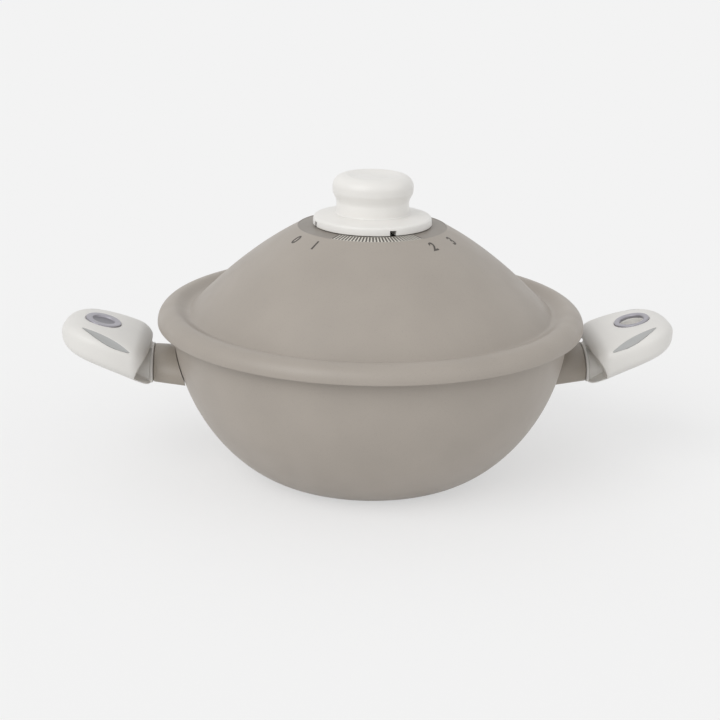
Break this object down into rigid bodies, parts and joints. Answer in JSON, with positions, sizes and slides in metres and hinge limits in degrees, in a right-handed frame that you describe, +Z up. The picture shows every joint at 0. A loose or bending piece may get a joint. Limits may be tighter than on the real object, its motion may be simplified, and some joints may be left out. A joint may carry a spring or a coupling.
{
  "type": "lidded wok",
  "caption": "Two-handled wok with a domed lid, a perforated steaming tray hung in its rim, and a knob that turns a steam vent.",
  "frame": {"origin": "centre of the flat base, on the surface that the wok stands on", "axes": "+Z up, +X from the wok's axis to the grip with the hanging eyelet, -Y to the viewer"},
  "size_m": [0.4388, 0.303, 0.2145],
  "materials": {
    "wok_coating": "cast, under an opaque satin greige non-stick coating with a fine texture",
    "tray_coating": "pressed sheet, under an opaque satin greige non-stick coating",
    "lid_coating": "cast, under an opaque satin greige coating with a fine texture",
    "grip_plastic": "satin off-white moulded plastic",
    "knob_plastic": "smooth off-white moulded plastic",
    "oval_metal": "grey anodised",
    "inlay_grey": "matt light grey",
    "silicone": "matt grey silicone",
    "steel": "plain bright steel",
    "brass": "plain"
  },
  "bodies": {
    "wok": {"wok_body": "wok_coating", "left_heat_guard": "wok_coating", "right_heat_guard": "wok_coating", "left_grip": "grip_plastic", "right_grip": "grip_plastic", "left_oval_plate": "oval_metal", "right_hanging_eyelet": "oval_metal", "left_inlay_front": "inlay_grey", "left_inlay_back": "inlay_grey", "right_inlay_front": "inlay_grey", "right_inlay_back": "inlay_grey", "left_handle_screw": "steel", "right_handle_screw": "steel", "left_screw_washer": "steel", "right_screw_washer": "steel"},
    "steam_tray": {"steam_tray": "tray_coating"},
    "lid": {"lid_shell": "lid_coating", "vent_seal": "silicone"},
    "knob": {"vent_dial": "knob_plastic", "knob_grip": "knob_plastic", "knob_insert": "brass", "knob_screw": "steel", "knob_washer": "steel", "knob_spring_washer": "steel"}
  },
  "joints": [
    {"name": "tray_lift", "type": "slide", "parent": "wok", "child": "steam_tray", "axis": [0, 0, 1], "range_m": [0, 0.15]},
    {"name": "lid_lift", "type": "slide", "parent": "steam_tray", "child": "lid", "axis": [0, 0, 1], "range_m": [0, 0.2]},
    {"name": "knob_turn", "type": "hinge", "parent": "lid", "child": "knob", "pos_m": [0, 0, 0.19], "axis": [0, 0, -1], "range_deg": [0, 45]}
  ]
}
